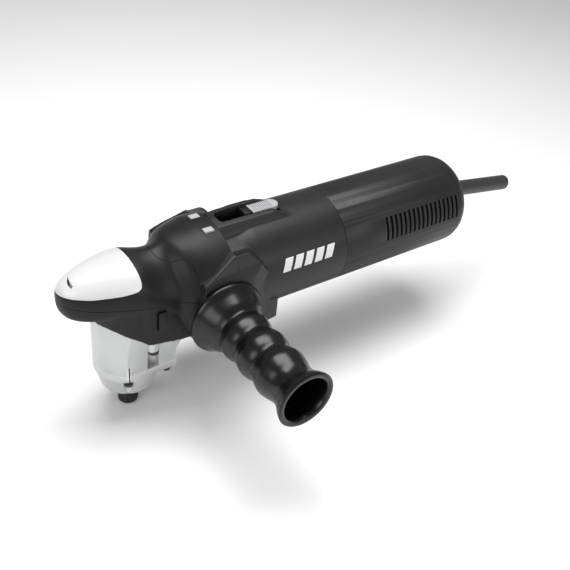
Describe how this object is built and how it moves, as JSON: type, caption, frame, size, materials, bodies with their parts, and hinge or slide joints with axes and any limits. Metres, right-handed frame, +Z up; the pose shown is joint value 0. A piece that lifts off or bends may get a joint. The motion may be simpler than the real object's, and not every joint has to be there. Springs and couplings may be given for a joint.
{
  "type": "rotary polisher",
  "caption": "Handheld rotary polisher with barrel motor body, right-angle gear head, threaded spindle, slide switch and screw-in side handle.",
  "frame": {"origin": "centre of the spindle's pad-seating shoulder, where the M14 thread starts", "axes": "+Z up along the spindle, +X back along the motor axis to the cord end, side handle on the -Y side"},
  "size_m": [0.4095, 0.1668, 0.1322],
  "materials": {
    "soft_black": "satin soft-touch",
    "black_plastic": "fine moulded grain",
    "handle_black": "satin gloss",
    "white_cap": "gloss",
    "light_grey": "satin",
    "cast_aluminium": "fine cast",
    "black_steel": "black oxide",
    "steel": "ground",
    "laminations": "stacked sheet",
    "copper": "enamelled",
    "brass": "rolled",
    "carbon": "matt",
    "fan_plastic": "moulded",
    "board": "matt",
    "rubber": "matt"
  },
  "bodies": {
    "machine": {"bearing_bracket": "cast_aluminium", "bearing_cover": "cast_aluminium", "bracket_bolts": "steel", "brush_carrier": "black_plastic", "brush_holders": "brass", "brush_springs": "steel", "carbon_brushes": "carbon", "clamp_screws": "steel", "collar_cover": "black_plastic", "cord_clamp": "black_plastic", "cord_sleeve": "rubber", "cover_screws": "black_steel", "dial_potentiometer": "black_plastic", "fan_baffle": "black_plastic", "field_coils": "copper", "field_core": "laminations", "front_housing": "black_plastic", "gear_housing": "cast_aluminium", "head_cap": "white_cap", "layshaft_bearings_balls": "steel", "layshaft_bearings_outer_ring": "steel", "lock_spring": "steel", "lower_bearing_balls": "steel", "lower_bearing_outer_ring": "steel", "lower_shroud": "soft_black", "marks": "light_grey", "motor_bearings_balls": "steel", "motor_bearings_outer_ring": "steel", "rear_motor_housing": "black_plastic", "side_screws": "black_steel", "speed_module": "board", "switch_block": "black_plastic", "upper_bearing_balls": "steel", "upper_bearing_outer_ring": "steel", "upper_shroud": "soft_black"},
    "armature": {"armature_shaft": "steel", "armature_pinion": "steel", "armature_core": "laminations", "armature_windings": "copper", "commutator": "copper", "cooling_fan": "fan_plastic", "motor_bearings_inner_ring": "steel"},
    "spindle": {"spindle": "black_steel", "crown_wheel": "steel", "lock_disc": "steel", "lower_bearing_inner_ring": "steel", "upper_bearing_inner_ring": "steel"},
    "layshaft": {"layshaft": "steel", "layshaft_gear": "steel", "bevel_pinion": "steel", "layshaft_bearings_inner_ring": "steel"},
    "lock_button": {"lock_button": "black_plastic", "lock_pin": "steel"},
    "switch_slider": {"slider_carrier": "black_plastic", "slider_pad": "light_grey", "switch_rod": "black_plastic"},
    "handle_stud": {"handle_stud": "steel"},
    "handle_grip": {"side_handle_grip": "handle_black"},
    "speed_dial": {"speed_dial": "black_plastic"}
  },
  "joints": [
    {"name": "armature_spin", "type": "hinge", "parent": "machine", "child": "armature", "pos_m": [0.05, 0, 0.0756], "axis": [1, 0, 0], "continuous": true},
    {"name": "layshaft_spin", "type": "hinge", "parent": "machine", "child": "layshaft", "pos_m": [0.03, 0, 0.0592], "axis": [1, 0, 0], "continuous": true},
    {"name": "spindle_spin", "type": "hinge", "parent": "machine", "child": "spindle", "pos_m": [0, 0, 0], "axis": [0, 0, 1], "continuous": true},
    {"name": "lock_button_press", "type": "slide", "parent": "machine", "child": "lock_button", "axis": [0, 1, 0], "range_m": [0, 0.0042], "stiffness_N_per_m": 600, "springref_m": -0.002, "deforming": ["lock_spring"]},
    {"name": "switch_slide", "type": "slide", "parent": "machine", "child": "switch_slider", "axis": [-1, 0, 0], "range_m": [0, 0.008]},
    {"name": "handle_travel", "type": "slide", "parent": "machine", "child": "handle_stud", "axis": [0, -1, 0], "range_m": [0, 0.0135]},
    {"name": "handle_turn", "type": "hinge", "parent": "handle_stud", "child": "handle_grip", "pos_m": [0.0522, -0.05, 0.0661], "axis": [0, -1, 0], "range_deg": [0, 3240]},
    {"name": "speed_dial_turn", "type": "hinge", "parent": "machine", "child": "speed_dial", "pos_m": [0.282, 0, 0.0586], "axis": [1, 0, 0], "range_deg": [0, 270]}
  ],
  "couplings": [
    {"joint": "layshaft_spin", "follows": "armature_spin", "ratio": -0.28125},
    {"joint": "spindle_spin", "follows": "armature_spin", "ratio": -0.074449},
    {"joint": "handle_travel", "follows": "handle_turn", "m_per_rad": 0.00023873}
  ]
}
